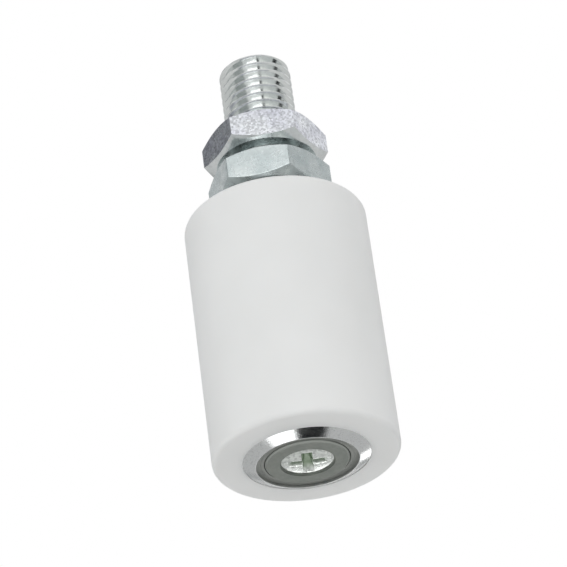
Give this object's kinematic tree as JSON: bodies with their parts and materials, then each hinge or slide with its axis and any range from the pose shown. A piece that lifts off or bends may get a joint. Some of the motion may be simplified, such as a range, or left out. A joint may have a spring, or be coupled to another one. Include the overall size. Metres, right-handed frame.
{
  "type": "sliding door roller",
  "caption": "Cylindrical nylon guide roller on ball bearings, carried by a threaded steel axle with a hexagon and a jam nut, for a sliding door or gate.",
  "frame": {"origin": "centre of the lowest plane, the end face of the lower bearing's outer ring, on the axle's axis", "axes": "+Z along the axle from the roller to the threaded end, -Y towards the flat of the jam nut that faces the front, +X to the right"},
  "size_m": [0.04, 0.04, 0.1],
  "materials": {
    "nylon": "turned white nylon, satin, slightly translucent",
    "zinc_plate": "bright bluish zinc plating on machined steel",
    "polished_steel": "ground and polished bearing steel",
    "dull_zinc": "dull grey passivated sheet steel",
    "bare_steel": "oiled bare steel tube",
    "cage_plastic": "moulded dark green polyamide"
  },
  "bodies": {
    "axle": {"axle": "zinc_plate", "retaining_washer": "dull_zinc", "cross_screw": "zinc_plate", "spacer_tube": "bare_steel", "lower_inner_ring": "polished_steel", "upper_inner_ring": "polished_steel"},
    "roller": {"roller_sleeve": "nylon", "lower_outer_ring": "polished_steel", "upper_outer_ring": "polished_steel", "lower_outer_shield": "dull_zinc", "lower_back_shield": "dull_zinc", "upper_outer_shield": "dull_zinc", "upper_back_shield": "dull_zinc"},
    "lower_balls": {"lower_cage": "cage_plastic", "lower_ball_1": "polished_steel", "lower_ball_2": "polished_steel", "lower_ball_3": "polished_steel", "lower_ball_4": "polished_steel", "lower_ball_5": "polished_steel", "lower_ball_6": "polished_steel", "lower_ball_7": "polished_steel", "lower_ball_8": "polished_steel"},
    "upper_balls": {"upper_cage": "cage_plastic", "upper_ball_1": "polished_steel", "upper_ball_2": "polished_steel", "upper_ball_3": "polished_steel", "upper_ball_4": "polished_steel", "upper_ball_5": "polished_steel", "upper_ball_6": "polished_steel", "upper_ball_7": "polished_steel", "upper_ball_8": "polished_steel"},
    "nut": {"jam_nut": "zinc_plate"}
  },
  "joints": [
    {"name": "roller_spin", "type": "hinge", "parent": "axle", "child": "roller", "pos_m": [0, 0, 0.03035], "axis": [0, 0, 1], "continuous": true},
    {"name": "lower_ball_orbit", "type": "hinge", "parent": "axle", "child": "lower_balls", "pos_m": [0, 0, 0.0046], "axis": [0, 0, 1], "continuous": true},
    {"name": "upper_ball_orbit", "type": "hinge", "parent": "axle", "child": "upper_balls", "pos_m": [0, 0, 0.0561], "axis": [0, 0, 1], "continuous": true},
    {"name": "jam_nut_travel", "type": "slide", "parent": "axle", "child": "nut", "axis": [0, 0, 1], "range_m": [-0.002, 0.016]}
  ],
  "couplings": [
    {"joint": "lower_ball_orbit", "follows": "roller_spin", "ratio": 0.619},
    {"joint": "upper_ball_orbit", "follows": "roller_spin", "ratio": 0.619}
  ]
}
